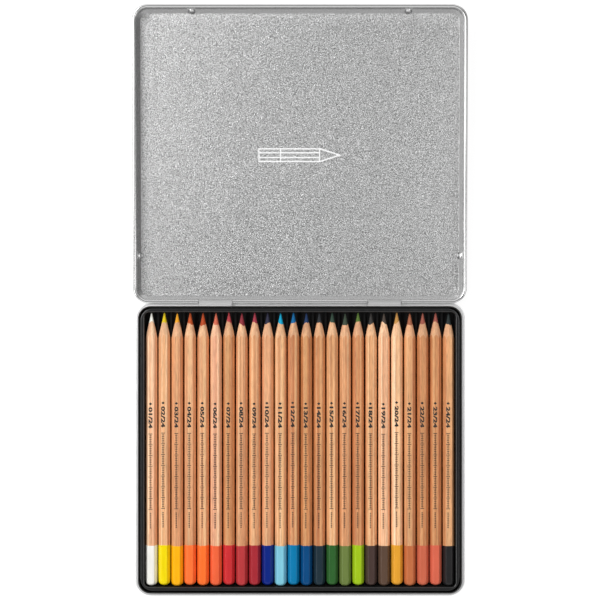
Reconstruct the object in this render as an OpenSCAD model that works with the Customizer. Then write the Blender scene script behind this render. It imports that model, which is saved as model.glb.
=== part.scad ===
// Flat hinged tin with a row of colored pencils, drawn open and lying on a table.
// Millimetres. The origin is the middle of the base's underside, +Z is up, +Y points from the
// front edge to the hinge, and +X is to the right of someone who sits in front of the tin.

/* [Pencils] */
// Number of pencils in the row
pencil_count = 24; // [6:1:24]
// Width of a hexagonal barrel, corner to corner
pencil_across = 7.65; // [6.5:0.05:8.6]
// Length of a pencil without its dipped coat
pencil_len = 174.8; // [150:0.1:190]
// Gap between the corners of two neighbours
pencil_gap = 0.65; // [0.4:0.05:1.5]
// Diameter of the colored core
core_d = 3.5; // [2.5:0.1:4.2]
// Length of the sharpened cone, from the point to the barrel's corners
cone_len = 16.6; // [12:0.1:22]
// Diameter of the blunt point
point_d = 0.7; // [0.4:0.05:1.2]
// Radius of the domed back end
dome_r = 4.6; // [4.6:0.1:9]
// Length of the dipped back end
dip_len = 25.8; // [10:0.1:40]
// Thickness of the dipped coat
dip_coat = 0.12; // [0.08:0.01:0.25]
// How far a pencil has slid along its groove, at most
pencil_slack = 0.3; // [0:0.05:0.3]

/* [Tray] */
// Thickness of the plastic
tray_wall = 0.6; // [0.4:0.05:1]
// Gap between the outermost corners and the side walls of the tray
side_clear = 0.45; // [0.4:0.05:2]
// Gap between a centred pencil's point or coat and the end walls of the tray
end_clear = 0.6; // [0.55:0.05:3]
// Width of the raised rim
tray_rim_w = 2.7; // [2.6:0.1:5]
// Radius of the rim's outer edge
tray_edge_r = 0.9; // [0.65:0.05:1]
// Radius of the rim's inner edge
tray_lip_r = 0.65; // [0.65:0.05:0.8]
// Outer corner radius
tray_outer_r = 8; // [5:0.1:8]
// Corner radius of the bed that holds the pencils
tray_inner_r = 3; // [2.8:0.1:3.2]
// Height of the bed above the tray's feet
bed_h = 2.6; // [1.5:0.1:4]
// Height of the rim above the pencils
rim_rise = 0.8; // [0.3:0.1:2]
// Height of the ribs between the pencils
rib_h = 1.9; // [0.8:0.1:2.4]
// Width of a rib at its top
rib_top = 0.9; // [0.5:0.1:1.4]
// Width of a rib at its foot
rib_base = 3.6; // [2:0.1:3.8]
// Every so many gaps the rib is a foot that stands on the tin's floor
foot_every = 4; // [2:1:6]
// Vertical play of a piece that rests on another
seat_clear = 0.05; // [0.02:0.01:0.2]

/* [Base] */
// Thickness of the tinplate
sheet = 0.3; // [0.2:0.01:0.4]
// Gap between the tray and the base's rim
tray_gap = 0.4; // [0.25:0.05:1.5]
// Thickness of the hemmed rim
hem_w = 0.8; // [0.6:0.05:1.2]
// Height of the hemmed rim
hem_h = 1.2; // [0.9:0.1:2]
// Height of the rim above the tray
neck_rise = 1; // [0.3:0.1:3]
// Height of the shoulder that the lid's rolled edge comes down on
shoulder_z = 6.6; // [5.5:0.1:8]
// Width of the shoulder
shoulder_w = 2.4; // [1.8:0.1:4]
// Outer radius of the shoulder's bend
shoulder_r = 0.8; // [0.5:0.05:1.5]
// Outer radius of the bend between floor and wall
floor_bend_r = 2; // [1:0.1:3]
// Corner radius of the neck, in plan
neck_r = 8; // [5:0.1:12]

/* [Hinge] */
// Diameter of the hinge wires
pin_d = 1.7; // [1.2:0.05:2]
// Radial play of a hinge wire
pin_clear = 0.05; // [0.02:0.01:0.1]
// Length of a hinge wire
pin_len = 39; // [30:1:48]
// Width of a hinge tab
tab_w = 21; // [12:0.5:26]
// Distance between the middles of the two tabs
tab_spacing = 108.5; // [60:0.5:130]
// Play between a tab and its slot in the lid
slot_clear = 0.5; // [0.3:0.05:1]
// Distance of the hinge axis behind the base's wall
hinge_back = 0.45; // [0.3:0.05:1.5]
// Play under the rolled edge when the lid is shut
shut_clear = 0.15; // [0.05:0.05:0.5]
// Play between the lid laid flat and the table
table_clear = 0.15; // [0.05:0.05:0.5]
// How far the open lid stops short of flat, in degrees
lid_lean = 2; // [0:0.5:20]

/* [Lid] */
// Gap between the lid's side walls and the neck
lid_side_gap = 1.05; // [0.7:0.05:1.5]
// Gap between the lid's front wall and the neck
lid_front_gap = 0.7; // [0.65:0.05:1.5]
// Corner radius of the lid's inner face, in plan
lid_r = 7.6; // [5:0.1:8]
// Width of the bevel between panel and wall
bevel = 2.4; // [1:0.1:3.5]
// Angle that the rolled edge leaves open, in degrees
curl_open = 55; // [30:5:80]

/* [Embossed pencil on the lid] */
// Length of the embossed pencil
mark_len = 54; // [30:1:90]
// Width of the embossed pencil
mark_w = 9; // [6:0.5:20]
// Length of its point
mark_point = 14; // [8:0.5:20]
// Width of its lines
mark_line = 0.9; // [0.5:0.1:1.2]
// Depth of its lines
mark_depth = 0.15; // [0.05:0.01:0.18]

/* [Snap bumps] */
// Radius of a bump on the lid's wall
bump_r = 1.6; // [1:0.1:1.6]
// How much longer than high a bump is, along the wall
bump_long = 2.4; // [0.4:0.1:6]
// Height of a bump
bump_h = 0.55; // [0.2:0.05:0.6]
// Distance of a bump's middle from the edge of the lid's roll
bump_drop = 0.6; // [0.5:0.05:1.2]
// Distance between the two bumps on the front wall
front_bumps = 139; // [80:1:150]
// Distance of the side bumps from the hinge axis
side_bump_y = 29.6; // [20:0.1:160]
// Depth of the dimple in the neck behind each bump
dimple_h = 0.35; // [0.15:0.05:0.35]

/* [Hidden] */
$fn = 64;

// Names and colors of the pencils, from the left
shades = [
    ["white", "#f3f2ea"],
    ["yellow", "#f4de00"],
    ["golden_yellow", "#ffb000"],
    ["light_orange", "#ff782d"],
    ["orange", "#ff6919"],
    ["vermilion", "#f4603a"],
    ["red", "#c82832"],
    ["carmine", "#b83a40"],
    ["dark_red", "#a62836"],
    ["dark_blue", "#002382"],
    ["sky_blue", "#7dc8e1"],
    ["cyan_blue", "#007db4"],
    ["prussian_blue", "#004e8c"],
    ["indigo", "#232d3c"],
    ["dark_green", "#2d6932"],
    ["olive_green", "#73824b"],
    ["apple_green", "#96cd14"],
    ["sepia", "#4b3c37"],
    ["umber", "#5a4b3c"],
    ["ochre", "#eba532"],
    ["light_brown", "#c87346"],
    ["terracotta", "#d2644b"],
    ["salmon", "#dc6955"],
    ["black", "#2d2d2d"]
];
wood_color = "#e2a678";
tin_color = "#c4c4c4";
tray_color = "#1c1c1e";
wire_color = "#9a9a9c";

// A tag such as 07_red, for the pencil at place i, counted from 0
function tag(i) = str(i < 9 ? "0" : "", i + 1, "_", shades[i][0]);

pencils = [0 : pencil_count - 1];

// Pencil
glue_gap = 0.02;
flats = pencil_across * cos(30);
pitch = pencil_across + pencil_gap;
function pencil_x(i) = (i - (pencil_count - 1) / 2) * pitch;
// The pencils lie a little to and fro in their grooves
function pencil_y(i) = pencil_slack * sin(137.5 * i);

// Heights
tray_bottom = sheet + seat_clear;
bed_z = tray_bottom + bed_h;
coat_out = dip_coat + glue_gap;
pencil_z = bed_z + seat_clear + coat_out + flats / 2;
rim_z = pencil_z + flats / 2 + rim_rise;
neck_z = rim_z + neck_rise;

// Plan sizes, from the pencils outwards
bed_w = pencil_count * pitch - pencil_gap + 2 * side_clear;
bed_d = pencil_len + 2 * end_clear;
tray_w = bed_w + 2 * tray_rim_w;
tray_d = bed_d + 2 * tray_rim_w;
neck_w = tray_w + 2 * (tray_gap + hem_w);
neck_d = tray_d + 2 * (tray_gap + hem_w);
base_w = neck_w + 2 * shoulder_w;
base_d = neck_d + 2 * shoulder_w;
base_r = neck_r + shoulder_w;

// Hinge
curl_r = pin_d / 2 + pin_clear + sheet;
hinge_y = base_d / 2 + hinge_back;
hinge_z = shoulder_z + shut_clear + curl_r;

// Lid, laid flat with its hollow up, and measured from the hinge axis
lid_drop = hinge_z - table_clear;
lid_in_w = neck_w + 2 * lid_side_gap;
lid_in_d = hinge_y - curl_r + neck_d / 2 + lid_front_gap;
lid_mid_y = curl_r + lid_in_d / 2;
slot_z = -curl_r - slot_clear;

// Snap bumps
bump_z = -curl_r - bump_drop;
bump_ball = (bump_r * bump_r + bump_h * bump_h) / (2 * bump_h);
dimple_r = bump_r - sheet;
dimple_ball = (dimple_r * dimple_r + dimple_h * dimple_h) / (2 * dimple_h);

// ---- Shared shapes ----

// A rectangle with round corners
module round_rect(w, d, r) {
    square([w - 2 * r, d], center = true);
    square([w, d - 2 * r], center = true);
    for (x = [-1, 1], y = [-1, 1])
        translate([x * (w / 2 - r), y * (d / 2 - r)])
            circle(r = r);
}

// Runs a section around a rectangle with round corners. The section's x is the distance
// outwards from the rectangle, and its y is the height.
module around(w, d, r) {
    for (k = [0 : 3]) {
        across = k % 2 == 0 ? w : d;
        along = k % 2 == 0 ? d : w;
        rotate(90 * k) {
            translate([across / 2, along / 2 - r, 0])
                rotate([90, 0, 0])
                    linear_extrude(along - 2 * r)
                        children();
            translate([across / 2 - r, along / 2 - r, 0])
                rotate_extrude(angle = 90)
                    translate([r, 0])
                        children();
        }
    }
}

// The section of a sheet bent by 90 degrees, in the quadrant right of and above the bend's centre
module bend(r, t) {
    intersection() {
        difference() {
            circle(r = r);
            circle(r = r - t);
        }
        square(r);
    }
}

// The section of a sheet rolled to a ring that is open from one angle to another
module roll(r, t, open_from, open_to) {
    middle = (open_from + open_to) / 2;
    difference() {
        circle(r = r);
        circle(r = r - t);
        polygon([
            [0, 0],
            2 * r * [cos(open_from), sin(open_from)],
            2 * r * [cos(middle), sin(middle)],
            2 * r * [cos(open_to), sin(open_to)]
        ]);
    }
}

// A ball that is drawn out sideways, along the wall it is pressed into
module long_ball(r) {
    for (side = [-1, 1])
        translate([0, side * bump_long / 2, 0])
            sphere(r = r);
    rotate([90, 0, 0])
        cylinder(r = r, h = bump_long, center = true);
}

// Room for one bump or dimple between two distances from the wall
module bump_room(from, to, z) {
    translate([from, -bump_r * 2 - bump_long, z - bump_r * 2])
        cube([to - from, bump_r * 4 + 2 * bump_long, bump_r * 4]);
}

// Puts its children on the walls at the snap bumps, with their +X pointing outwards
module at_snaps(w, side_y, front_y, front_turn) {
    for (side = [-1, 1]) {
        translate([side * w / 2, side_y, 0])
            rotate(side > 0 ? 0 : 180)
                children();
        translate([side * front_bumps / 2, front_y, 0])
            rotate(front_turn)
                children();
    }
}

// ---- Base ----

// Section of the base's wall, measured outwards from the neck's outer face
module base_section() {
    hem_r = hem_w / 2;
    translate([-hem_r, neck_z - hem_r])
        circle(r = hem_r);
    translate([-hem_w, neck_z - hem_h])
        square([hem_w, hem_h - hem_r]);
    translate([-sheet, shoulder_z - sheet])
        square([sheet, neck_z - hem_r - shoulder_z + sheet]);
    translate([-sheet, shoulder_z - sheet])
        square([shoulder_w - shoulder_r + sheet, sheet]);
    translate([shoulder_w - shoulder_r, shoulder_z - shoulder_r])
        bend(shoulder_r, sheet);
    translate([shoulder_w - sheet, floor_bend_r])
        square([sheet, shoulder_z - shoulder_r - floor_bend_r]);
    translate([shoulder_w - floor_bend_r, floor_bend_r])
        rotate(-90)
            bend(floor_bend_r, sheet);
}

// Section of a hinge tab, measured from the hinge axis, with x towards the back
module tab_section() {
    strip = hinge_y - neck_d / 2 + sheet;
    translate([-strip, curl_r - sheet])
        square([strip, sheet]);
    roll(curl_r, sheet, 90, 200);
}

module hinge_tabs() {
    for (side = [-1, 1])
        translate([side * tab_spacing / 2 - tab_w / 2, hinge_y, hinge_z])
            rotate([90, 0, 90])
                linear_extrude(tab_w)
                    tab_section();
}

module base_shell() {
    snap_z = hinge_z - bump_z;
    color(tin_color)
        difference() {
            union() {
                around(neck_w, neck_d, neck_r)
                    base_section();
                linear_extrude(sheet)
                    round_rect(
                        base_w - 2 * floor_bend_r,
                        base_d - 2 * floor_bend_r,
                        base_r - floor_bend_r
                    );
                hinge_tabs();
                at_snaps(neck_w, hinge_y - side_bump_y, -neck_d / 2, -90)
                    intersection() {
                        translate([dimple_ball - dimple_h, 0, snap_z])
                            long_ball(dimple_ball + sheet);
                        bump_room(-sheet - dimple_h, -sheet / 2, snap_z);
                    }
            }
            at_snaps(neck_w, hinge_y - side_bump_y, -neck_d / 2, -90)
                translate([dimple_ball - dimple_h, 0, snap_z])
                    long_ball(dimple_ball);
        }
}

// ---- Lid ----

// Section of the lid's wall, measured outwards from its inner face and up from the hinge axis
module lid_section() {
    translate([curl_r, 0])
        roll(curl_r, sheet, 180, 180 + curl_open);
    mitre = sheet * tan(22.5);
    polygon([
        [0, 0],
        [sheet, 0],
        [sheet, sheet + bevel - mitre - lid_drop],
        [mitre - bevel, -lid_drop],
        [-bevel, -lid_drop],
        [-bevel, sheet - lid_drop],
        [0, sheet + bevel - lid_drop]
    ]);
}

// Puts its children where the open lid is: their origin goes on the hinge axis
module at_lid() {
    translate([0, hinge_y, hinge_z])
        rotate([lid_lean, 0, 0])
            children();
}

// Outline of the embossed pencil, inset by a distance
module mark_shape(inset) {
    half = mark_w / 2;
    tip_angle = atan(half / mark_point);
    tip_x = mark_len / 2 - inset / sin(tip_angle);
    shoulder_x = tip_x - (half - inset) / tan(tip_angle);
    polygon([
        [inset - mark_len / 2, inset - half],
        [shoulder_x, inset - half],
        [tip_x, 0],
        [shoulder_x, half - inset],
        [inset - mark_len / 2, half - inset]
    ]);
}

// A pencil drawn in lines: its outline, its two long edges, its shoulder and its dipped end
module mark_lines() {
    shoulder = mark_len / 2 - mark_point;
    difference() {
        mark_shape(0);
        difference() {
            mark_shape(mark_line);
            translate([shoulder - mark_line, -mark_w])
                square([mark_line, 2 * mark_w]);
            translate([-shoulder, -mark_w])
                square([mark_line, 2 * mark_w]);
            for (side = [-1, 1])
                translate([-mark_len / 2, side * mark_w / 6 - mark_line / 2])
                    square([mark_len / 2 + shoulder, mark_line]);
        }
    }
}

module lid_slots() {
    slot_w = tab_w + 2 * slot_clear;
    for (side = [-1, 1])
        translate([side * tab_spacing / 2 - slot_w / 2, -2 * curl_r, slot_z])
            cube([slot_w, 4 * curl_r, 2 * curl_r - slot_z]);
}

module lid_shell() {
    inset = 2 * bevel;
    color(tin_color)
        at_lid()
            difference() {
                union() {
                    translate([0, lid_mid_y, 0])
                        around(lid_in_w, lid_in_d, lid_r)
                            lid_section();
                    translate([0, lid_mid_y, -lid_drop])
                        linear_extrude(sheet)
                            round_rect(lid_in_w - inset, lid_in_d - inset, lid_r - inset / 2);
                    translate([0, lid_mid_y, -lid_drop - mark_depth])
                        linear_extrude(mark_depth + sheet / 2)
                            mark_lines();
                    at_snaps(lid_in_w, side_bump_y, curl_r + lid_in_d, 90)
                        intersection() {
                            translate([bump_ball - bump_h, 0, bump_z])
                                long_ball(bump_ball);
                            bump_room(-bump_h, sheet / 2, bump_z);
                        }
                }
                at_snaps(lid_in_w, side_bump_y, curl_r + lid_in_d, 90)
                    intersection() {
                        translate([bump_ball - bump_h, 0, bump_z])
                            long_ball(bump_ball - sheet);
                        bump_room(-bump_h, sheet + seat_clear, bump_z);
                    }
                translate([0, lid_mid_y, sheet - mark_depth - lid_drop])
                    linear_extrude(2 * mark_depth)
                        mark_lines();
                lid_slots();
            }
}

// ---- Hinge wires ----

module hinge_pin(side) {
    color(wire_color)
        at_lid()
            translate([side * tab_spacing / 2, 0, 0])
                rotate([0, 90, 0])
                    cylinder(d = pin_d, h = pin_len, center = true);
}

module hinge_pin_left() {
    hinge_pin(-1);
}

module hinge_pin_right() {
    hinge_pin(1);
}

// ---- Tray ----

// Section of the tray's outer wall, measured outwards from its outer face
module tray_outer_section() {
    translate([-tray_wall, tray_bottom])
        square([tray_wall, rim_z - tray_edge_r - tray_bottom]);
    translate([-tray_edge_r, rim_z - tray_edge_r])
        bend(tray_edge_r, tray_wall);
}

// Section of the wall around the bed, measured outwards from the bed's edge
module tray_inner_section() {
    translate([0, tray_bottom])
        square([tray_wall, rim_z - tray_lip_r - tray_bottom]);
    translate([tray_lip_r, rim_z - tray_lip_r])
        rotate(90)
            bend(tray_lip_r, tray_wall);
}

// Upper line of the bed: a rib or a foot at each gap between two pencils
function bed_line(z) = concat(
    [[-bed_w / 2 - tray_wall / 2, z]],
    [
        for (i = [1 : pencil_count - 1])
            let (
                x = pencil_x(i) - pitch / 2,
                rise = i % foot_every == 0 ? tray_wall - bed_h : rib_h
            )
            each [
                [x - rib_base / 2, z],
                [x - rib_top / 2, z + rise],
                [x + rib_top / 2, z + rise],
                [x + rib_base / 2, z]
            ]
    ],
    [[bed_w / 2 + tray_wall / 2, z]]
);

module tray_bed() {
    low = bed_line(bed_z - tray_wall);
    intersection() {
        translate([0, bed_d / 2 + tray_wall, 0])
            rotate([90, 0, 0])
                linear_extrude(bed_d + 2 * tray_wall)
                    polygon(concat(
                        bed_line(bed_z),
                        [for (i = [len(low) - 1 : -1 : 0]) low[i]]
                    ));
        linear_extrude(rim_z)
            round_rect(bed_w + tray_wall, bed_d + tray_wall, tray_inner_r + tray_wall / 2);
    }
}

module pencil_tray() {
    color(tray_color) {
        around(tray_w, tray_d, tray_outer_r)
            tray_outer_section();
        around(bed_w, bed_d, tray_inner_r)
            tray_inner_section();
        translate([0, 0, rim_z - tray_wall])
            linear_extrude(tray_wall)
                difference() {
                    round_rect(
                        tray_w - 2 * tray_edge_r,
                        tray_d - 2 * tray_edge_r,
                        tray_outer_r - tray_edge_r
                    );
                    round_rect(
                        bed_w + 2 * tray_lip_r,
                        bed_d + 2 * tray_lip_r,
                        tray_inner_r + tray_lip_r
                    );
                }
        tray_bed();
    }
}

// ---- Pencils, drawn upright on their back end and then laid down ----

// Hexagonal rod that is grown by a coat's thickness all round
module hexagon(grow, h) {
    cylinder(r = pencil_across / 2 + grow / cos(30), h = h, $fn = 6);
}

// The room inside the domed back end, grown by a coat's thickness
module dome_room(grow, top) {
    translate([0, 0, dome_r]) {
        sphere(r = dome_r + grow);
        cylinder(r = dome_r + grow / 2 - 0.3, h = top - dome_r);
    }
}

// The whole pencil without its coat
module pencil_form() {
    slope = (pencil_across - point_d) / 2 / cone_len;
    overshoot = 2;
    intersection() {
        hexagon(0, pencil_len);
        dome_room(0, pencil_len);
        union() {
            cylinder(r = pencil_across, h = pencil_len - cone_len);
            translate([0, 0, pencil_len - cone_len - overshoot])
                cylinder(
                    r1 = pencil_across / 2 + slope * overshoot,
                    r2 = point_d / 2,
                    h = cone_len + overshoot
                );
        }
    }
}

module lay_pencil(i) {
    translate([pencil_x(i), pencil_y(i) - pencil_len / 2, pencil_z])
        rotate([-90, 0, 0])
            children();
}

module barrel(i) {
    color(wood_color)
        lay_pencil(i)
            difference() {
                pencil_form();
                translate([0, 0, -1])
                    cylinder(d = core_d, h = pencil_len + 2);
            }
}

// The core and the dipped coat share one color
module core(i) {
    color(shades[i][1])
        lay_pencil(i) {
            intersection() {
                pencil_form();
                translate([0, 0, -1])
                    cylinder(d = core_d - 2 * glue_gap, h = pencil_len + 2);
            }
            difference() {
                intersection() {
                    translate([0, 0, -coat_out])
                        hexagon(coat_out, dip_len);
                    dome_room(coat_out, dip_len);
                }
                intersection() {
                    translate([0, 0, -1])
                        hexagon(glue_gap, dip_len + 2);
                    dome_room(glue_gap, dip_len + 2);
                }
            }
        }
}

base_shell();
lid_shell();
hinge_pin_left();
hinge_pin_right();
pencil_tray();
for (i = pencils) {
    barrel(i);
    core(i);
}
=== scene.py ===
"""Looks of a flat hinged tin that lies open, with its tray and 24 colored pencils."""

import math
import random
from collections import namedtuple

import bmesh
import bpy
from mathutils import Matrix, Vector


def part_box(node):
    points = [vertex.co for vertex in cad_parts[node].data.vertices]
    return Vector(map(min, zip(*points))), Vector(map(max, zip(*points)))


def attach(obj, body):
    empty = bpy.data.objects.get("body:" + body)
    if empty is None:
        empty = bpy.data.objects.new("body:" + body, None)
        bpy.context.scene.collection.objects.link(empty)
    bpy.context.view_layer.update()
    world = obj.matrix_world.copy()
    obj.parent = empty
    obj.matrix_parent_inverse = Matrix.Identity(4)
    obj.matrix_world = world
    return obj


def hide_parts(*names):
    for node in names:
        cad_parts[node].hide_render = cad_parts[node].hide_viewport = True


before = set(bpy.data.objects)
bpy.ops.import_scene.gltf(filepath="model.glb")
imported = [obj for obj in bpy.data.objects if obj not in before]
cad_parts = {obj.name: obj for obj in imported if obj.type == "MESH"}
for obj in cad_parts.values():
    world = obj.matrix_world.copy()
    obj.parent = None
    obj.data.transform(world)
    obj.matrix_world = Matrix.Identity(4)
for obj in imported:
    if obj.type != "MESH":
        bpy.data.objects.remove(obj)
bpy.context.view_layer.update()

MM = 0.001
random.seed(24)

# The pencils' tags, such as 07_red, from the left
TAGS = sorted(n[len("barrel_"):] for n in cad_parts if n.startswith("barrel_"))

# Colors as sRGB numbers: the dipped end of each pencil, and its sharpened lead
DIPS = [
    (243, 241, 234), (245, 219, 0), (254, 181, 8), (255, 117, 54), (255, 115, 44),
    (240, 101, 60), (204, 46, 50), (186, 57, 60), (168, 42, 52), (0, 34, 128),
    (128, 200, 220), (0, 122, 173), (0, 72, 126), (30, 48, 58), (46, 98, 44),
    (108, 126, 64), (161, 198, 24), (73, 56, 51), (92, 70, 56), (232, 163, 48),
    (196, 110, 66), (206, 104, 76), (217, 103, 78), (36, 35, 36),
]
LEADS = [
    (252, 250, 238), (224, 195, 16), (238, 163, 32), (184, 80, 34), (178, 70, 28),
    (203, 101, 76), (176, 59, 66), (138, 45, 55), (162, 55, 71), (43, 43, 64),
    (0, 159, 198), (0, 98, 154), (26, 52, 92), (40, 43, 47), (49, 72, 59),
    (57, 70, 56), (86, 114, 47), (53, 50, 48), (75, 65, 58), (194, 141, 72),
    (164, 98, 69), (155, 85, 70), (155, 82, 71), (38, 46, 46),
]
# Wood of each barrel: its share of the pinker wood, and its tone, which is darker and more
# orange below 1
PINK = [0.55, 0.25, 0.5, 0.45, 0.55, 0.85, 0.3, 0.4, 0.35, 0.6, 0.1, 0.55,
        0.3, 0.5, 0.2, 0.4, 0.6, 0.25, 0.45, 0.15, 0.5, 0.35, 0.55, 0.3]
TONE = [1.15, 1.03, 0.87, 0.93, 0.87, 1.07, 0.73, 0.97, 0.93, 0.91, 1.05, 0.78,
        0.71, 0.71, 0.93, 0.89, 0.71, 0.92, 1.15, 1.21, 0.79, 0.75, 0.7, 0.85]


def linear(c):
    """An sRGB color, as 0 to 255 numbers, in linear light."""
    out = []
    for v in c:
        v /= 255
        out.append(v / 12.92 if v <= 0.04045 else ((v + 0.055) / 1.055) ** 2.4)
    return tuple(out)


def grey(v):
    return (v, v, v)


# ---------------------------------------------------------------- materials


class Nodes:
    """The nodes of a material or world: each call adds one, and sets or links its sockets."""

    def __init__(self, owner):
        self.owner = owner
        owner.use_nodes = True
        self.tree = owner.node_tree
        self.tree.nodes.clear()

    def put(self, socket, value):
        """Links a socket to an output, or sets it to a number, a color or a place."""
        if isinstance(value, bpy.types.NodeSocket):
            self.tree.links.new(value, socket)
        elif isinstance(value, tuple) and len(value) == 3 and socket.type == "RGBA":
            socket.default_value = (*value, 1)
        else:
            socket.default_value = value

    def node(self, kind, settings=None, **sockets):
        """Adds a node. Its sockets are given by name, with _ for a space."""
        n = self.tree.nodes.new("ShaderNode" + kind)
        for key, value in (settings or {}).items():
            setattr(n, key, value)
        for key, value in sockets.items():
            self.put(n.inputs[key.replace("_", " ")], value)
        return n

    def math(self, operation, *values, clamp=False):
        n = self.node("Math", {"operation": operation, "use_clamp": clamp})
        for socket, value in zip(n.inputs, values):
            self.put(socket, value)
        return n.outputs[0]

    def vector(self, operation, *values):
        """A vector operation; a dot product and a distance give a number."""
        n = self.node("VectorMath", {"operation": operation})
        for socket, value in zip(n.inputs, values):
            self.put(socket, value)
        return n.outputs["Value" if operation in ("DOT_PRODUCT", "DISTANCE") else "Vector"]

    def between(self, value, low, high, start=0.0, end=1.0, curve="LINEAR"):
        """A number that goes from start to end while the value goes from low to high."""
        settings = {"clamp": True, "interpolation_type": curve}
        n = self.node("MapRange", settings, Value=value, From_Min=low, From_Max=high,
                      To_Min=start, To_Max=end)
        return n.outputs[0]

    def mix_numbers(self, share, a, b):
        """A number between two numbers."""
        n = self.node("Mix", {"data_type": "FLOAT"})
        for k, value in ((0, share), (2, a), (3, b)):
            self.put(n.inputs[k], value)
        return n.outputs[0]

    def mix(self, share, a, b, how="MIX", clamp=False):
        """A color between two colors."""
        n = self.node("Mix", {"data_type": "RGBA", "blend_type": how, "clamp_result": clamp})
        for k, value in ((0, share), (6, a), (7, b)):
            self.put(n.inputs[k], value)
        return n.outputs[2]

    def times(self, a, b, clamp=False):
        """A color multiplied by another."""
        return self.mix(1.0, a, b, "MULTIPLY", clamp)

    def ramp(self, value, stops):
        """Maps a number through stops of (place, level)."""
        n = self.node("ValToRGB", Fac=value)
        while len(n.color_ramp.elements) < len(stops):
            n.color_ramp.elements.new(0.5)
        for element, (place, level) in zip(n.color_ramp.elements, stops):
            element.position = place
            element.color = (*grey(level), 1)
        return n.outputs[0]

    def place(self, scale=(1, 1, 1), shift=(0, 0, 0), turn=(0, 0, 0)):
        """The object's own coordinates, scaled, shifted and turned."""
        coord = self.node("TexCoord").outputs["Object"]
        n = self.node("Mapping", {"vector_type": "POINT"}, Vector=coord, Location=shift,
                      Rotation=turn, Scale=scale)
        return n.outputs[0]

    def xyz(self, where):
        """The three numbers of a place."""
        return self.node("SeparateXYZ", Vector=where).outputs

    def noise(self, where, scale, detail=2.0, rough=0.5, distort=0.0):
        """Noise, with about as many grains in a metre as its scale and the place's say."""
        n = self.node("TexNoise", Vector=where, Scale=scale, Detail=detail,
                      Roughness=rough, Distortion=distort)
        return n.outputs[0]

    def bump(self, height, strength, distance, **normal):
        """Bump from a height, with its distance in metres; Normal= is a bump that it adds to."""
        n = self.node("Bump", Height=height, Strength=strength, Distance=distance, **normal)
        return n.outputs[0]

    def surface(self, shader):
        """Makes a shader the owner's surface, and returns the owner."""
        kind = "World" if isinstance(self.owner, bpy.types.World) else "Material"
        self.node("Output" + kind, Surface=shader.outputs[0])
        return self.owner

    def finish(self, **sockets):
        return self.surface(self.node("BsdfPrincipled", **sockets))


def new_material(name):
    return Nodes(bpy.data.materials.new(name))


def grain_of_tin(s):
    """The fine sparkling grain of the frosted metal, as a number around 0.5."""
    # turned, so that no flat face follows a plane of the noise
    where = s.place(turn=(0.62, 0.47, 0.71))
    fine = s.noise(where, 2700, 0.0)
    coarse = s.noise(where, 2050, 0.0)
    return s.math("ADD", s.math("MULTIPLY", fine, 0.6), s.math("MULTIPLY", coarse, 0.4))


Panel = namedtuple("Panel", "normal offset left near far")


def widest_panel(node):
    """The widest flat part of a node that looks up: its plane, least x, and least and most y."""
    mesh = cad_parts[node].data
    parts = {}
    for p in mesh.polygons:
        if p.normal.z > 0.9:
            key = (round(p.normal.x, 2), round(p.normal.y, 2),
                   round(p.normal.dot(p.center) / MM, 1))
            parts.setdefault(key, []).append(p)
    panel = max(parts.values(), key=lambda part: sum(p.area for p in part))
    normal = sum((p.normal * p.area for p in panel), Vector())
    offset = sum(p.area * p.normal.dot(p.center) for p in panel) / sum(p.area for p in panel)
    corners = [mesh.vertices[v].co for p in panel for v in p.vertices]
    return Panel(normal.normalized(), offset, min(v.x for v in corners),
                 min(v.y for v in corners), max(v.y for v in corners))


# Zones of the lid, in metres, each from where it begins to where it is full
BEVEL = (0.15 * MM, 0.5 * MM)           # by height over the panel
ROLL = (2.7 * MM, 3.7 * MM)             # by height over the panel
SHADED_LONG_SIDES = (102.0 * MM, 104.5 * MM)   # by distance from the middle: where the roll's painted shade along the long sides begins and is full
SNAP_FLANK = (2.7 * MM, 0.5 * MM)       # by distance from the bump's middle
# And its other sizes
HINGE_HIGHLIGHT_STRIP = 0.3 * MM                  # how far the painted highlight of the bevel at the hinge reaches on the panel
EDGE_LIGHT_WIDTH = 8 * MM                    # width of the painted light along the left and far edges
PRESSED = (-0.2 * MM, -0.04 * MM)       # least and most height of the pressed outline
PRESSED_REACH = 40 * MM                 # how far it is from the middle at most
SNAP_HEIGHT = 1.2 * MM                  # height of the snap bumps' middles over the panel
SNAP_DEPTH = 0.9 * MM                   # depth of their flanks
FROST = 0.805                           # how light the frosted panel is


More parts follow.
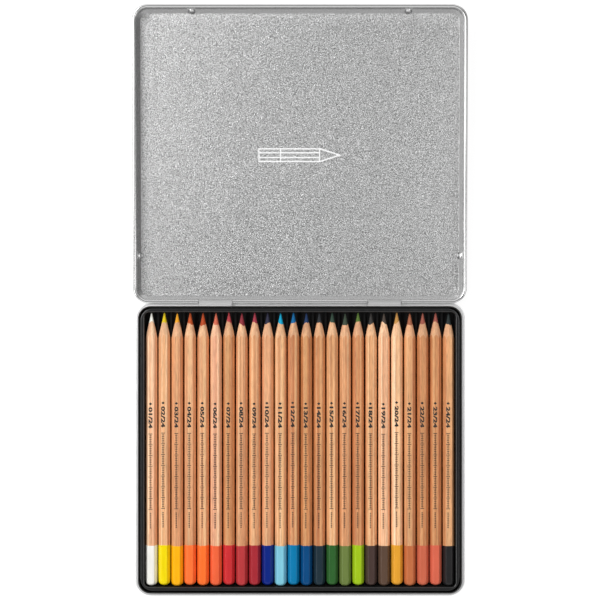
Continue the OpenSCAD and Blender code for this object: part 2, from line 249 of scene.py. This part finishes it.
def frosted_tin(name, panel, snaps, glare):
    """The lid's tinplate: frosted on the panel, smoother on the walls and the rolled rim.

    snaps are the (x, y) places of the snap bumps, and glare is the share of the light that
    the metal mirrors at a low angle.
    """
    s = new_material(name)
    where = s.place()
    x, y, _ = s.xyz(where)
    aside = s.math("ABSOLUTE", x)
    height = s.math("SUBTRACT", s.vector("DOT_PRODUCT", where, panel.normal), panel.offset)
    bevel, roll = s.between(height, *BEVEL), s.between(height, *ROLL)
    grain = grain_of_tin(s)

    frost = s.ramp(grain, [(0.34, FROST * 0.25), (0.5, FROST), (0.66, FROST * 1.8)])
    cloud = s.ramp(s.noise(where, 14, 3.0, 0.55), [(0.3, 0.95), (0.7, 1.0)])
    inset = s.math("MINIMUM", s.math("SUBTRACT", x, panel.left),
                   s.math("SUBTRACT", panel.far, y))
    # painted light: the panel is painted lighter towards its left and far edges
    painted_edge_light = s.ramp(s.math("MULTIPLY", inset, 1 / EDGE_LIGHT_WIDTH),
                    [(0.0, 1.0), (0.15, 0.95), (0.4, 0.8), (1.0, 0.69)])
    frost = s.times(s.times(frost, cloud), painted_edge_light, clamp=True)

    # the walls, with a painted highlight that makes them bright next to the hinge, and the roll,
    # with painted shade that makes it darker along the two long sides
    walls = s.mix(s.math("LESS_THAN", y, panel.near + HINGE_HIGHLIGHT_STRIP),
                  s.ramp(grain, [(0.3, 0.62), (0.7, 0.68)]), grey(0.96))
    rim = s.mix(s.between(aside, *SHADED_LONG_SIDES), s.ramp(grain, [(0.3, 0.84), (0.7, 0.92)]),
                s.ramp(grain, [(0.3, 0.56), (0.7, 0.62)]))

    # the outline pressed into the panel gets a painted highlight: light grey and less metallic
    # along its lines
    pressed = s.math("MULTIPLY", s.math("LESS_THAN", height, PRESSED[1]),
                     s.math("GREATER_THAN", height, PRESSED[0]))
    pressed = s.math("MULTIPLY", pressed, s.math("LESS_THAN", aside, PRESSED_REACH))
    color = s.mix(pressed, s.mix(bevel, frost, s.mix(roll, walls, rim)), grey(0.92))

    # the snap bumps' flanks, pressed into the sheet, with painted shade in a ring round each
    # bump and a painted highlight in its middle
    middles = [
        (u, v, (panel.offset + SNAP_HEIGHT - panel.normal.x * u - panel.normal.y * v)
         / panel.normal.z)
        for u, v in snaps
    ]
    nearest, *others = [s.vector("DISTANCE", where, middle) for middle in middles]
    for other in others:
        nearest = s.math("MINIMUM", nearest, other)
    snap_bump_and_shade = s.math("MULTIPLY", s.between(nearest, *SNAP_FLANK, curve="SMOOTHSTEP"),
                   s.math("SUBTRACT", 1.0, roll))
    color = s.times(color, s.ramp(snap_bump_and_shade, [(0.0, 1.0), (0.12, 0.5), (0.45, 0.6), (0.7, 1.4)]))

    fine = s.bump(grain, s.math("SUBTRACT", 0.55, s.math("MULTIPLY", bevel, 0.49)), 0.0004)
    return s.finish(
        Base_Color=color, Metallic=s.math("SUBTRACT", 1.0, s.math("MULTIPLY", pressed, 0.75)),
        Specular_Tint=grey(glare),
        Roughness=s.mix(bevel, s.ramp(s.noise(where, 900, 2.0), [(0.3, 0.32), (0.7, 0.42)]),
                        s.mix(roll, grey(0.24), grey(0.13))),
        Normal=s.bump(snap_bump_and_shade, 1.0, SNAP_DEPTH, Normal=fine),
    )


# How far the borders of the base's black lacquer, its hem and its tabs stay off the surfaces
SHEET_ROOM, HEM_ROOM, TAB_ROOM = 0.15 * MM, 0.1 * MM, 0.05 * MM


def lacquered_tin(name, width, depth, radius, floor_top, shoulder, shoulder_z, hem_z):
    """The base's tinplate: silver outside and black lacquer inside, told apart by the place.

    width, depth and radius are the neck's, and shoulder is how far the wall stands out.
    """
    s = new_material(name)
    where = s.place()
    x, y, z = s.xyz(where)
    across = s.math("SUBTRACT", s.math("ABSOLUTE", x), width / 2 - radius)
    along = s.math("SUBTRACT", s.math("ABSOLUTE", y), depth / 2 - radius)
    across, along = s.math("MAXIMUM", across, 0.0), s.math("MAXIMUM", along, 0.0)
    reach = s.math("SQRT", s.math("ADD", s.math("MULTIPLY", across, across),
                                  s.math("MULTIPLY", along, along)))
    out = s.math("SUBTRACT", reach, radius)
    within_neck = s.math("LESS_THAN", out, -SHEET_ROOM)
    within_wall = s.math("MULTIPLY", s.math("LESS_THAN", out, shoulder - SHEET_ROOM),
                         s.math("LESS_THAN", z, shoulder_z))
    inside = s.math("MULTIPLY", s.math("GREATER_THAN", z, floor_top),
                    s.math("MAXIMUM", within_neck, within_wall))
    # the dimples in the neck reach inwards, but they are silver on their outward side
    outwards = s.vector("NORMALIZE", s.vector("MULTIPLY", where, (1, 1, 0)))
    facing = s.vector("DOT_PRODUCT", outwards, s.node("TexCoord").outputs["Normal"])
    inside = s.math("MULTIPLY", inside, s.math("LESS_THAN", facing, 0.3))
    on_hem = s.math("MULTIPLY", s.math("GREATER_THAN", z, hem_z),
                    s.math("LESS_THAN", out, HEM_ROOM))
    black = s.math("MAXIMUM", inside, on_hem, clamp=True)
    grain = grain_of_tin(s)
    # the hinge's tabs behind the rear wall are duller
    on_tab = s.math("GREATER_THAN", y, depth / 2 + (shoulder + TAB_ROOM))
    silver = s.mix(on_tab, s.ramp(grain, [(0.3, 0.76), (0.7, 0.86)]), grey(0.58))
    dust = s.ramp(s.noise(where, 240, 3.0, 0.6), [(0.45, 0.007), (0.8, 0.016)])
    return s.finish(
        Base_Color=s.mix(black, silver, dust),
        Metallic=s.math("SUBTRACT", 1.0, black),
        Roughness=s.mix(black, grey(0.42), grey(0.3)),
        Normal=s.bump(grain, 0.12, 0.0003),
    )


def drawn_wire(name):
    """Steel wire with drawing lines along X."""
    s = new_material(name)
    lines = s.noise(s.place((12, 900, 900)), 1.0, 3.0, 0.6)
    return s.finish(
        Base_Color=s.ramp(lines, [(0.3, 0.36), (0.7, 0.52)]), Metallic=1.0,
        Roughness=s.ramp(lines, [(0.3, 0.3), (0.7, 0.45)]),
        Normal=s.bump(lines, 0.1, 0.0002),
    )


def tray_plastic(name, glossy_z):
    """Black vacuum-formed plastic with a fine grain and a little dust: glossy above a height,
    matt below it and darkened there by painted shade.
    """
    s = new_material(name)
    where = s.place()
    grain = s.noise(where, 2600, 2.0, 0.6)
    wave = s.noise(where, 60, 2.0, 0.5)
    dust = s.noise(where, 420, 4.0, 0.65)
    deep_matt_and_shade = s.math("LESS_THAN", s.xyz(where)[2], glossy_z)
    color = s.mix(s.ramp(dust, [(0.55, 0.0), (0.75, 0.35)]), (0.0085, 0.0085, 0.009),
                  grey(0.03))
    # painted shade: below that height the black is painted darker still
    color = s.mix(s.math("MULTIPLY", deep_matt_and_shade, 0.8), color, grey(0.001))
    height = s.math("ADD", grain, s.math("MULTIPLY", wave, 1.5))
    return s.finish(
        Base_Color=color, Specular_IOR_Level=0.3, Normal=s.bump(height, 0.06, 0.0003),
        Coat_Weight=s.math("SUBTRACT", 1.0, deep_matt_and_shade), Coat_Roughness=0.05,
        Roughness=s.mix(deep_matt_and_shade, s.ramp(dust, [(0.3, 0.26), (0.7, 0.36)]), grey(0.85)),
    )


# Cedar as sRGB numbers: two kinds of wood, and its dark and pale streaks
YELLOW_WOOD, PINK_WOOD = (230, 174, 118), (234, 166, 132)
LATE_WOOD, PALE_WOOD = (184, 114, 72), (246, 204, 158)
FRESH_CUT = (236, 196, 160)
# How strongly a barrel's tone changes red, green and blue
TONE_POWERS = (0.85, 1.5, 2.3)
# The color of the light between two barrels, and its heights over a barrel's axis
BETWEEN_BARRELS = (1.2, 0.92, 0.64)
SIDE_BEGINS, SIDE_FULL = 0.85 * MM, 0.2 * MM


def wood(name, seed, axis, raw):
    """Straight-grained cedar along Y: clear lacquered on the barrel, raw on the cone.

    seed is the pencil's number, and axis is the height of its axis.
    """
    s = new_material(name)
    shift = (seed * 0.37, seed * 0.113, seed * 0.219)
    broad = s.noise(s.place((420, 3.5, 420), shift), 1.0, 3.0, 0.55, 0.3)
    band = s.noise(s.place((640, 3, 640), shift), 1.0, 2.0, 0.5, 0.2)
    fibre = s.noise(s.place((1500, 14, 1500), shift), 1.0, 4.0, 0.65, 0.2)
    pores = s.noise(s.place((3600, 95, 3600), shift), 1.0, 2.0, 0.5)
    flecks = s.noise(s.place((2600, 160, 2600), shift), 1.0, 3.0, 0.6)
    mottle = s.noise(s.place((60, 28, 60), shift), 1.0, 2.0, 0.5)
    color = s.mix(PINK[seed], linear(YELLOW_WOOD), linear(PINK_WOOD))
    color = s.mix(s.ramp(broad, [(0.42, 0.0), (0.62, 0.62)]), color, linear(LATE_WOOD))
    color = s.mix(s.ramp(band, [(0.46, 0.0), (0.64, 0.75)]), color, linear(PALE_WOOD))
    color = s.times(color, s.ramp(fibre, [(0.32, 0.82), (0.5, 1.0), (0.72, 1.1)]))
    color = s.times(color, s.ramp(pores, [(0.27, 0.55), (0.37, 1.0)]))
    color = s.times(color, s.ramp(flecks, [(0.3, 0.78), (0.5, 1.0), (0.7, 1.14)]))
    color = s.times(color, s.ramp(mottle, [(0.3, 0.9), (0.7, 1.07)]))
    color = s.times(color, tuple(TONE[seed] ** power for power in TONE_POWERS))
    # light that passes from barrel to barrel reddens the sides
    side = s.between(s.xyz(s.place())[2], axis + SIDE_BEGINS, axis + SIDE_FULL)
    color = s.times(color, s.mix(side, grey(1), BETWEEN_BARRELS))
    if raw:
        cut = s.noise(s.place((900, 240, 900), shift), 1.0, 4.0, 0.7)
        color = s.mix(0.35, color, linear(FRESH_CUT))
        color = s.times(color, s.ramp(cut, [(0.3, 0.84), (0.7, 1.08)]))
        return s.finish(Base_Color=color, Roughness=0.78, Normal=s.bump(cut, 0.5, 0.0002))
    return s.finish(
        Base_Color=color, Roughness=s.ramp(fibre, [(0.3, 0.36), (0.7, 0.46)]),
        Coat_Weight=0.35, Coat_Roughness=0.22,
        Normal=s.bump(fibre, 0.18, 0.00012),
    )


def tinted(s, value, color, low, high, lift):
    """A color that goes from low to high times itself, plus lift, as a number rises."""
    return s.mix(s.ramp(value, [(0.3, 0.0), (0.7, 1.0)]), tuple(v * low for v in color),
                 tuple(min(v * high + lift, 1.0) for v in color))


def paint(name, color):
    """Glossy dipped paint, with slight runs along the pencil."""
    s = new_material(name)
    runs = s.noise(s.place((420, 60, 420)), 1.0, 2.0, 0.5)
    specks = s.noise(s.place(), 1800, 2.0, 0.5)
    tint = tinted(s, runs, color, low=0.88, high=0.98, lift=0.002)
    return s.finish(
        Base_Color=s.times(tint, s.ramp(specks, [(0.3, 0.97), (0.7, 1.0)])),
        Roughness=s.ramp(specks, [(0.3, 0.28), (0.7, 0.34)]),
        Specular_IOR_Level=0.25, Coat_Weight=0.1, Coat_Roughness=0.1,
        Normal=s.bump(s.math("ADD", runs, s.math("MULTIPLY", specks, 0.15)), 0.12, 0.0001),
    )


def lead(name, color):
    """Waxy colored core with the marks of the sharpener around it."""
    s = new_material(name)
    rings = s.noise(s.place((500, 3000, 500)), 1.0, 3.0, 0.6)
    wax = s.noise(s.place(), 1300, 3.0, 0.6)
    return s.finish(
        Base_Color=tinted(s, wax, color, low=0.84, high=1.08, lift=0.004),
        Roughness=s.ramp(rings, [(0.3, 0.5), (0.7, 0.66)]), Specular_IOR_Level=0.2,
        Normal=s.bump(s.math("ADD", rings, wax), 0.35, 0.00015),
    )


def ink(name):
    """Black foil print, a little worn."""
    s = new_material(name)
    worn = s.noise(s.place((900, 400, 900)), 1.0, 3.0, 0.6)
    return s.finish(
        Base_Color=s.ramp(worn, [(0.35, 0.03), (0.75, 0.006)]),
        Roughness=s.ramp(worn, [(0.3, 0.7), (0.7, 0.55)]), Specular_IOR_Level=0.25,
    )


# ---------------------------------------------------------------- meshes


def solid_from_rings(name, rings, materials, first, last, creases=(), second=None):
    """A smooth closed mesh through rings of points, each end closed by a fan to a point.

    creases are the numbers of the sharp rings, and second is the ring from which on the
    faces have the second material.
    """
    bm = bmesh.new()
    rows = [[bm.verts.new(p) for p in ring] for ring in rings]
    count = len(rings[0])

    def face(row, *corners):
        made = bm.faces.new(corners)
        made.material_index = int(second is not None and row >= second)

    for k in range(len(rows) - 1):
        for j in range(count):
            n = (j + 1) % count
            face(k, rows[k][j], rows[k][n], rows[k + 1][n], rows[k + 1][j])
    for k, point in ((0, first), (len(rows) - 1, last)):
        tip = bm.verts.new(point)
        for j in range(count):
            face(k, rows[k][j], tip, rows[k][(j + 1) % count])
    bmesh.ops.recalc_face_normals(bm, faces=bm.faces)
    for k in creases:
        for j in range(count):
            bm.edges.get((rows[k][j], rows[k][(j + 1) % count])).smooth = False
    mesh = bpy.data.meshes.new(name)
    bm.to_mesh(mesh)
    bm.free()
    for m in materials:
        mesh.materials.append(m)
    for p in mesh.polygons:
        p.use_smooth = True
    obj = bpy.data.objects.new(name, mesh)
    bpy.context.scene.collection.objects.link(obj)
    return obj


# Sizes of a pencil, in millimetres
ACROSS = 7.65       # the hexagon across its corners, before they are rounded
EDGE_R = 0.55       # rounding of the corners
CONE = 16.6         # length of the sharpened cone
POINT_R = 0.35      # its radius at the tip
CORE_R = 1.75
DOME_R = 4.6        # radius of the domed back end
DIP = 25.8          # length of the dipped coat
COAT = 0.12         # its thickness
GLUE = 0.02         # and its gap to the wood
SLOPE = (ACROSS / 2 - POINT_R) / CONE
APOTHEM = ACROSS / 2 * math.cos(math.pi / 6)
WOOD_SOFT, COAT_SOFT = 0.5, 0.9         # passage from the dome to the flats
CONE_BELLY, CORE_HOLLOW = 0.12, 0.03    # how far the cuts bulge and sink
EDGE_WAVE, EDGE_BACK = 0.08, 0.12       # the coat's edge: its waves, and how far it is back
# Distances of rings from the back end, or from the dipped coat and from the cone
BARREL_DOME = (0.02, 0.25, 0.6, 1.0, 1.5, 2.1, 3.0)
PAST_DIP, BEFORE_CONE = 1.2, 0.4
DIP_RINGS = (20.0, 14.0, 8.0, 4.4, 3.6, 3.0, 2.5, 2.1, 1.75, 1.45, 1.2, 0.95, 0.7, 0.45,
             0.2, 0.0, -0.1)
# The coat's rolled lip, as (ahead of its edge, thickness there), and the core's rounded
# point, as (behind its tip, radius)
LIP = ((0.14, 0.01), (0.13, 0.06), (0.04, 0.115), (-0.25, 0.135), (-0.9, 0.14))
TIP = ((0.22, 0.36), (0.1, 0.26), (0.02, 0.12))
TIP_LENGTH = 0.45                       # where the rounded point begins
# How deep the points that close the hidden ends lie
BARREL_CLOSES, CORE_CLOSES, DIP_CLOSES = 1.6, 0.8, 1.2
# Numbers of rings or points
STRAIGHT_STEPS = 12
CONE_STEPS = 6
CORE_STEPS = 7
ARC_STEPS = 5
FLAT_STEPS = 7


def hexagon(grow=0.0):
    """Points of the barrel's section with rounded edges, as (angle, radius)."""
    round_r = EDGE_R + grow
    reach = (APOTHEM + grow - round_r) / math.cos(math.pi / 6)

    def on_edge(a, t):
        return (reach * math.cos(a) + round_r * math.cos(a + t),
                reach * math.sin(a) + round_r * math.sin(a + t))

    points = []
    for k in range(6):
        a, b = math.radians(60 * k), math.radians(60 * (k + 1))
        arc = [on_edge(a, math.radians(-30 + 60 * j / ARC_STEPS)) for j in range(ARC_STEPS + 1)]
        (x, y), (next_x, next_y) = arc[-1], on_edge(b, -math.pi / 6)
        points += arc
        points += [
            (x + (next_x - x) * j / FLAT_STEPS, y + (next_y - y) * j / FLAT_STEPS)
            for j in range(1, FLAT_STEPS)
        ]
    return [(math.atan2(y, x), math.hypot(x, y)) for x, y in points]


def least(a, b, soft):
    """The smaller of two numbers, with a soft passage between them."""
    h = max(soft - abs(a - b), 0.0) / soft
    return min(a, b) - h * h * soft / 4


def dome(s, grow):
    """Radius of the domed back end at a distance from the wood's back end."""
    r = DOME_R + grow
    return math.sqrt(max(r * r - (DOME_R - s) ** 2, 0.0)) if s < DOME_R else r + s


class Pencil:
    """Places points of a pencil: s is the distance from its back end, in millimetres."""

    def __init__(self, index, tag):
        lo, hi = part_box("barrel_" + tag)
        core_lo, core_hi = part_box("core_" + tag)
        self.x, self.z = (lo.x + hi.x) / 2, (lo.z + hi.z) / 2
        self.back = core_lo.y + (COAT + GLUE) * MM
        self.length = (core_hi.y - self.back) / MM
        self.index, self.tag = index, tag
        # how the core is off the middle, and where its edge's waves begin
        self.turn = random.uniform(0, 2 * math.pi)
        self.lean = random.uniform(0.1, 0.3)
        self.knife = random.uniform(0, 2 * math.pi)

    def at(self, angle, radius, s):
        return (
            self.x + radius * MM * math.cos(angle),
            self.back + s * MM,
            self.z + radius * MM * math.sin(angle),
        )

    def cone(self, s):
        """The sharpened cone's radius at a distance."""
        return POINT_R + SLOPE * (self.length - s)

    def cone_place(self, radius):
        """The distance at which the sharpened cone has a radius."""
        return self.length - (radius - POINT_R) / SLOPE

    def lead_edge(self, angle):
        """Where the core comes out of the wood at this angle: its radius and distance."""
        wobble = 0.05 * math.sin(3 * angle + self.knife) + 0.03 * math.sin(7 * angle)
        r = CORE_R + self.lean * math.cos(angle - self.turn) + wobble
        return r, self.cone_place(r)

    def deepest(self):
        """The place of the core's edge where it is furthest back."""
        return self.lead_edge(self.turn)[1]

    def barrel(self, materials):
        """The wood: domed back end, straight barrel, and the cone up to the core's edge."""
        section = hexagon()
        rings = [
            [self.at(a, least(r, dome(s, 0), WOOD_SOFT), s) for a, r in section]
            for s in (*BARREL_DOME, DIP - 0.5, DIP, DIP + PAST_DIP)
        ]
        last = self.length - CONE - BEFORE_CONE
        for k in range(1, STRAIGHT_STEPS + 1):
            s = DIP + PAST_DIP + (last - DIP - PAST_DIP) * k / STRAIGHT_STEPS
            rings.append([self.at(a, r, s) for a, r in section])
        # the scalloped edge where the sharpener's cone cuts the lacquered flats
        scallop = len(rings)
        rings.append([self.at(a, r, self.cone_place(r)) for a, r in section])
        for k in range(1, CONE_STEPS + 1):
            belly = CONE_BELLY * math.sin(math.pi * k / CONE_STEPS)
            ring = []
            for a, r in section:
                start, end = self.cone_place(r), self.lead_edge(a)[1]
                s = start + (end - start) * k / CONE_STEPS
                ring.append(self.at(a, self.cone(s) + belly, s))
            rings.append(ring)
        return solid_from_rings(
            "wood_" + self.tag, rings, materials, first=self.at(0, 0, 0),
            last=self.at(0, 0, self.deepest() - BARREL_CLOSES),
            creases=(scallop, len(rings) - 1), second=scallop,
        )

    def core(self, materials):
        """The sharpened core, from its edge in the wood to its rounded point."""
        section = hexagon()
        rings = [[self.at(a, *self.lead_edge(a)) for a, _ in section]]
        for k in range(1, CORE_STEPS + 1):
            hollow = CORE_HOLLOW * math.sin(math.pi * k / CORE_STEPS)
            ring = []
            for a, _ in section:
                start = self.lead_edge(a)[1]
                s = start + (self.length - TIP_LENGTH - start) * k / CORE_STEPS
                ring.append(self.at(a, self.cone(s) - hollow, s))
            rings.append(ring)
        for behind, r in TIP:
            rings.append([self.at(a, r, self.length - behind) for a, _ in section])
        return solid_from_rings(
            "lead_" + self.tag, rings, materials,
            first=self.at(0, 0, self.deepest() - CORE_CLOSES),
            last=self.at(0, 0, self.length), creases=(0,),
        )

    def dip(self, materials):
        """The dipped coat: from its rolled lip over the barrel to the dome."""
        section = hexagon(COAT + GLUE)

        def edge(angle):
            return DIP + EDGE_WAVE * math.sin(2 * angle + self.knife) - EDGE_BACK

        rings = [
            [self.at(a, r - (COAT + GLUE) + grow, edge(a) + ahead) for a, r in section]
            for ahead, grow in LIP
        ]
        rings += [
            [self.at(a, least(r, dome(s, COAT + GLUE), COAT_SOFT), s) for a, r in section]
            for s in DIP_RINGS
        ]
        return solid_from_rings(
            "dip_" + self.tag, rings, materials,
            first=self.at(0, 0, DIP - DIP_CLOSES), last=self.at(0, 0, -(COAT + GLUE)),
        )


def flat_mesh(name, polygons, material):
    """A flat mesh of separate polygons, each a list of (x, y)."""
    mesh = bpy.data.meshes.new(name)
    points, faces = [], []
    for polygon in polygons:
        faces.append(tuple(range(len(points), len(points) + len(polygon))))
        points += [(u, v, 0.0) for u, v in polygon]
    mesh.from_pydata(points, [], faces)
    mesh.materials.append(material)
    obj = bpy.data.objects.new(name, mesh)
    bpy.context.scene.collection.objects.link(obj)
    return obj


def number_mesh(text, height):
    """The outline of a plain number, as a mesh with its lower left corner at the origin."""
    curve = bpy.data.curves.new("number", "FONT")
    curve.body = text
    curve.size = 1.0
    curve.offset = 0.045
    curve.resolution_u = 3
    obj = bpy.data.objects.new("number", curve)
    bpy.context.scene.collection.objects.link(obj)
    bpy.context.view_layer.update()
    graph = bpy.context.evaluated_depsgraph_get()
    mesh = bpy.data.meshes.new_from_object(obj.evaluated_get(graph))
    bpy.data.objects.remove(obj)
    left = min(v.co.x for v in mesh.vertices)
    low, high = min(v.co.y for v in mesh.vertices), max(v.co.y for v in mesh.vertices)
    size = height / (high - low)
    for v in mesh.vertices:
        v.co = ((v.co.x - left) * size, (v.co.y - low) * size, 0)
    return mesh


def bar(u0, u1, v0, v1):
    return [(u0, v0), (u1, v0), (u1, v1), (u0, v1)]


def diamond(u, v, half_u, half_v):
    return [(u - half_u, v), (u, v - half_v), (u + half_u, v), (u, v + half_v)]


# The foil print, in millimetres: its front end's distance from the pencil's back end, then
# lengths from there backwards
PRINT_FRONT = 118.0
PRINT_HEIGHT = 2.55
PRINT_OFF_MIDDLE = 0.45
PRINT_OVER_FACE = 0.012
NUMBER_START, NUMBER_LENGTH = 3.2, 13.6
SCALE_START, SCALE_END = 20.4, 68.6
TICKS, TICK_HALF, LONG_TICK_EVERY = 43, 0.22, 6
LONG_TICK, SHORT_TICK = 0.98, 0.78      # how high a tick reaches, as a share of the height
DASHES, DASH_START, DASH_PITCH, DASH_LENGTH = 9, 71.0, 1.14, 0.68


def pencil_print(pencil, material):
    """Foil print on the top face: a diamond, the pencil's place in the set, and a fine scale."""
    shapes = [diamond(1.1, PRINT_HEIGHT / 2, 0.9, 1.05)]
    digits = number_mesh(f"{pencil.index + 1:02d}/{len(TAGS)}", PRINT_HEIGHT)
    stretch = NUMBER_LENGTH / max(v.co.x for v in digits.vertices)
    for v in digits.vertices:
        v.co.x = v.co.x * stretch + NUMBER_START
    # ticks on a hairline, and a row of dashes after them
    for k in range(TICKS):
        u = SCALE_START + (SCALE_END - SCALE_START) * k / (TICKS - 1)
        top = PRINT_HEIGHT * (SHORT_TICK if k % LONG_TICK_EVERY else LONG_TICK)
        shapes.append(bar(u - TICK_HALF, u + TICK_HALF, PRINT_HEIGHT - top, top))
    shapes.append(bar(SCALE_START, SCALE_END, PRINT_HEIGHT / 2 - 0.1, PRINT_HEIGHT / 2 + 0.1))
    for k in range(DASHES):
        u = DASH_START + DASH_PITCH * k
        shapes.append(bar(u, u + DASH_LENGTH, PRINT_HEIGHT * 0.34, PRINT_HEIGHT * 0.66))
    obj = flat_mesh("print_" + pencil.tag, shapes, material)
    bm = bmesh.new()
    bm.from_mesh(obj.data)
    bm.from_mesh(digits)
    face_z = pencil.z + (APOTHEM + PRINT_OVER_FACE) * MM
    middle = pencil.x - PRINT_OFF_MIDDLE * MM + random.uniform(-0.15, 0.15) * MM
    front = pencil.back + (PRINT_FRONT + random.uniform(-0.4, 0.4)) * MM
    for v in bm.verts:
        u, w = v.co.x, v.co.y
        v.co = (middle + (w - PRINT_HEIGHT / 2) * MM, front - u * MM, face_z)
    bmesh.ops.triangulate(bm, faces=bm.faces)
    for f in bm.faces:
        f.normal_update()
        if f.normal.z < 0:
            f.normal_flip()
    bm.to_mesh(obj.data)
    bm.free()
    return obj


# ---------------------------------------------------------------- camera

# straight above the open tin, as in the photograph
camera = bpy.data.objects.new("camera", bpy.data.cameras.new("camera"))
camera.data.sensor_width = 36
camera.data.lens = 83.4
camera.location = (0, 0.0958, 0.9)
bpy.context.scene.collection.objects.link(camera)
bpy.context.scene.camera = camera

# ---------------------------------------------------------------- the tin and the tray


def dress(node, *materials):
    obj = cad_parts[node]
    obj.data.materials.clear()
    for material in materials:
        obj.data.materials.append(material)
    return obj


dress("base_shell", lacquered_tin(
    "base_tin", width=207.25 * MM, depth=183.8 * MM, radius=8 * MM, floor_top=0.15 * MM,
    shoulder=2.4 * MM, shoulder_z=6.45 * MM, hem_z=10.7 * MM,
))
# Places of the lid's four snap bumps, in the open lid
SNAPS = [
    (-102.9 * MM, 124.4 * MM), (102.9 * MM, 124.4 * MM),
    (-69.5 * MM, 281.2 * MM), (69.5 * MM, 281.2 * MM),
]
lid_panel = widest_panel("lid_shell")
# the frosted panel takes less of the glare at a low angle than the smooth walls
lid = dress(
    "lid_shell", frosted_tin("lid_tin", lid_panel, SNAPS, glare=1.0),
    frosted_tin("lid_panel_tin", lid_panel, SNAPS, glare=0.28),
)
for p in lid.data.polygons:
    if abs(p.normal.dot(lid_panel.normal)) > 0.97:
        p.material_index = 1
wire = drawn_wire("hinge_wire")
dress("hinge_pin_left", wire)
dress("hinge_pin_right", wire)
TRAY_RIM_Z = 10.565 * MM
GLOSSY_DEPTH = 1.0 * MM
dress("pencil_tray", tray_plastic("tray_plastic", glossy_z=TRAY_RIM_Z - GLOSSY_DEPTH))

# ---------------------------------------------------------------- the pencils

black_ink = ink("black_foil_print")
for i, tag in enumerate(TAGS):
    pencil = Pencil(i, tag)
    body = "pencil_" + tag
    barrel = pencil.barrel([
        wood("lacquered_wood_" + tag, i, pencil.z, raw=False),
        wood("raw_wood_" + tag, i, pencil.z, raw=True),
    ])
    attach(barrel, body)
    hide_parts("barrel_" + tag)
    core = pencil.core([lead("lead_" + tag, linear(LEADS[i]))])
    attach(core, body)
    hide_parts("core_" + tag)
    coat = pencil.dip([paint("paint_" + tag, linear(DIPS[i]))])
    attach(coat, body)
    mark = pencil_print(pencil, black_ink)
    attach(mark, body)

# ---------------------------------------------------------------- stage

FLOOR_HALF = 4.0
FLOOR_SEEN = 0.82           # the floor's own glow for the camera
FLOOR_MIRRORED = 0.58       # and in the metal


def stage_floor():
    """A white floor that still takes the object's shadow."""
    s = new_material("white_floor")
    path = s.node("LightPath").outputs
    mirrored = s.math("MAXIMUM", path["Is Glossy Ray"], path["Is Transmission Ray"])
    level = s.math("ADD", s.math("MULTIPLY", mirrored, FLOOR_MIRRORED),
                   s.math("MULTIPLY", path["Is Camera Ray"], FLOOR_SEEN))
    glow = s.node("Emission", Color=grey(1.0), Strength=level)
    matt = s.node("BsdfDiffuse", Color=grey(0.28))
    both = s.node("AddShader")
    s.put(both.inputs[0], glow.outputs[0])
    s.put(both.inputs[1], matt.outputs[0])
    sides = (-FLOOR_HALF, FLOOR_HALF)
    floor = flat_mesh("floor", [bar(*sides, *sides)], s.surface(both))


# The walls of light around the tin
WALL_MEAN = 0.56
WALL_SIDE = -0.336          # what the right side adds, and the left one loses
WALL_ENDS = 0.72            # what the far and the near end add
WALL_REAR = 0.12            # what the far end adds, and the near one loses
WALL_MOST = 0.88
# Shares of the walls' light at the horizon and at the ceiling, and of WALL_SIDE up there
HORIZON = 0.5
CEILING = 0.18
SIDE_AT_CEILING = 0.45
# How far up, from 0 to 1, each of them begins and ends to change
HORIZON_RISE = (0.1, 0.45)
CEILING_FADE = (0.86, 0.985)
SIDE_FADE = (0.5, 0.9)


def studio_world():
    """Soft walls of light, brightest far left, with a dark ceiling above the camera."""
    bpy.context.scene.world = bpy.data.worlds.new("studio")
    s = Nodes(bpy.context.scene.world)
    x, y, up = s.xyz(s.node("TexCoord").outputs["Generated"])
    side = s.between(up, *SIDE_FADE, WALL_SIDE, WALL_SIDE * SIDE_AT_CEILING)
    ends = s.math("MULTIPLY_ADD", y, WALL_ENDS, WALL_REAR)
    ends = s.math("MULTIPLY_ADD", y, ends, WALL_MEAN)
    wall = s.math("MINIMUM", s.math("ADD", s.math("MULTIPLY", x, side), ends), WALL_MOST)
    wall = s.math("MULTIPLY", wall, s.between(up, *HORIZON_RISE, HORIZON, 1.0))
    wall = s.math("MULTIPLY", wall, s.between(up, *CEILING_FADE, 1.0, CEILING))
    # plain white where the camera sees past the floor
    level = s.mix_numbers(s.node("LightPath").outputs["Is Camera Ray"], wall, 1.0)
    s.surface(s.node("Background", Color=grey(1.0), Strength=level))


def lamp(name, place, target, size, power):
    """A soft square lamp at a place in metres, with its side in metres and power in watts."""
    light = bpy.data.lights.new(name, "AREA")
    light.shape = "SQUARE"
    light.size = size
    light.energy = power
    obj = bpy.data.objects.new(name, light)
    obj.location = place
    obj.rotation_mode = "QUATERNION"
    obj.rotation_quaternion = (Vector(target) - Vector(place)).to_track_quat("-Z", "Y")
    bpy.context.scene.collection.objects.link(obj)


stage_floor()
studio_world()
TIN_MIDDLE = (0, 0.1, 0)
lamp("key", (-0.92, 0.55, 0.98), TIN_MIDDLE, size=0.9, power=11.4)
lamp("side", (-0.98, -0.15, 0.78), TIN_MIDDLE, size=0.5, power=2.5)
lamp("right", (0.98, -0.1, 0.78), TIN_MIDDLE, size=0.5, power=1.9)
lamp("fill", (0.45, 0.2, 0.65), (0.05, 0.12, 0), size=0.35, power=0.6)

bpy.context.scene.view_settings.view_transform = "Standard"
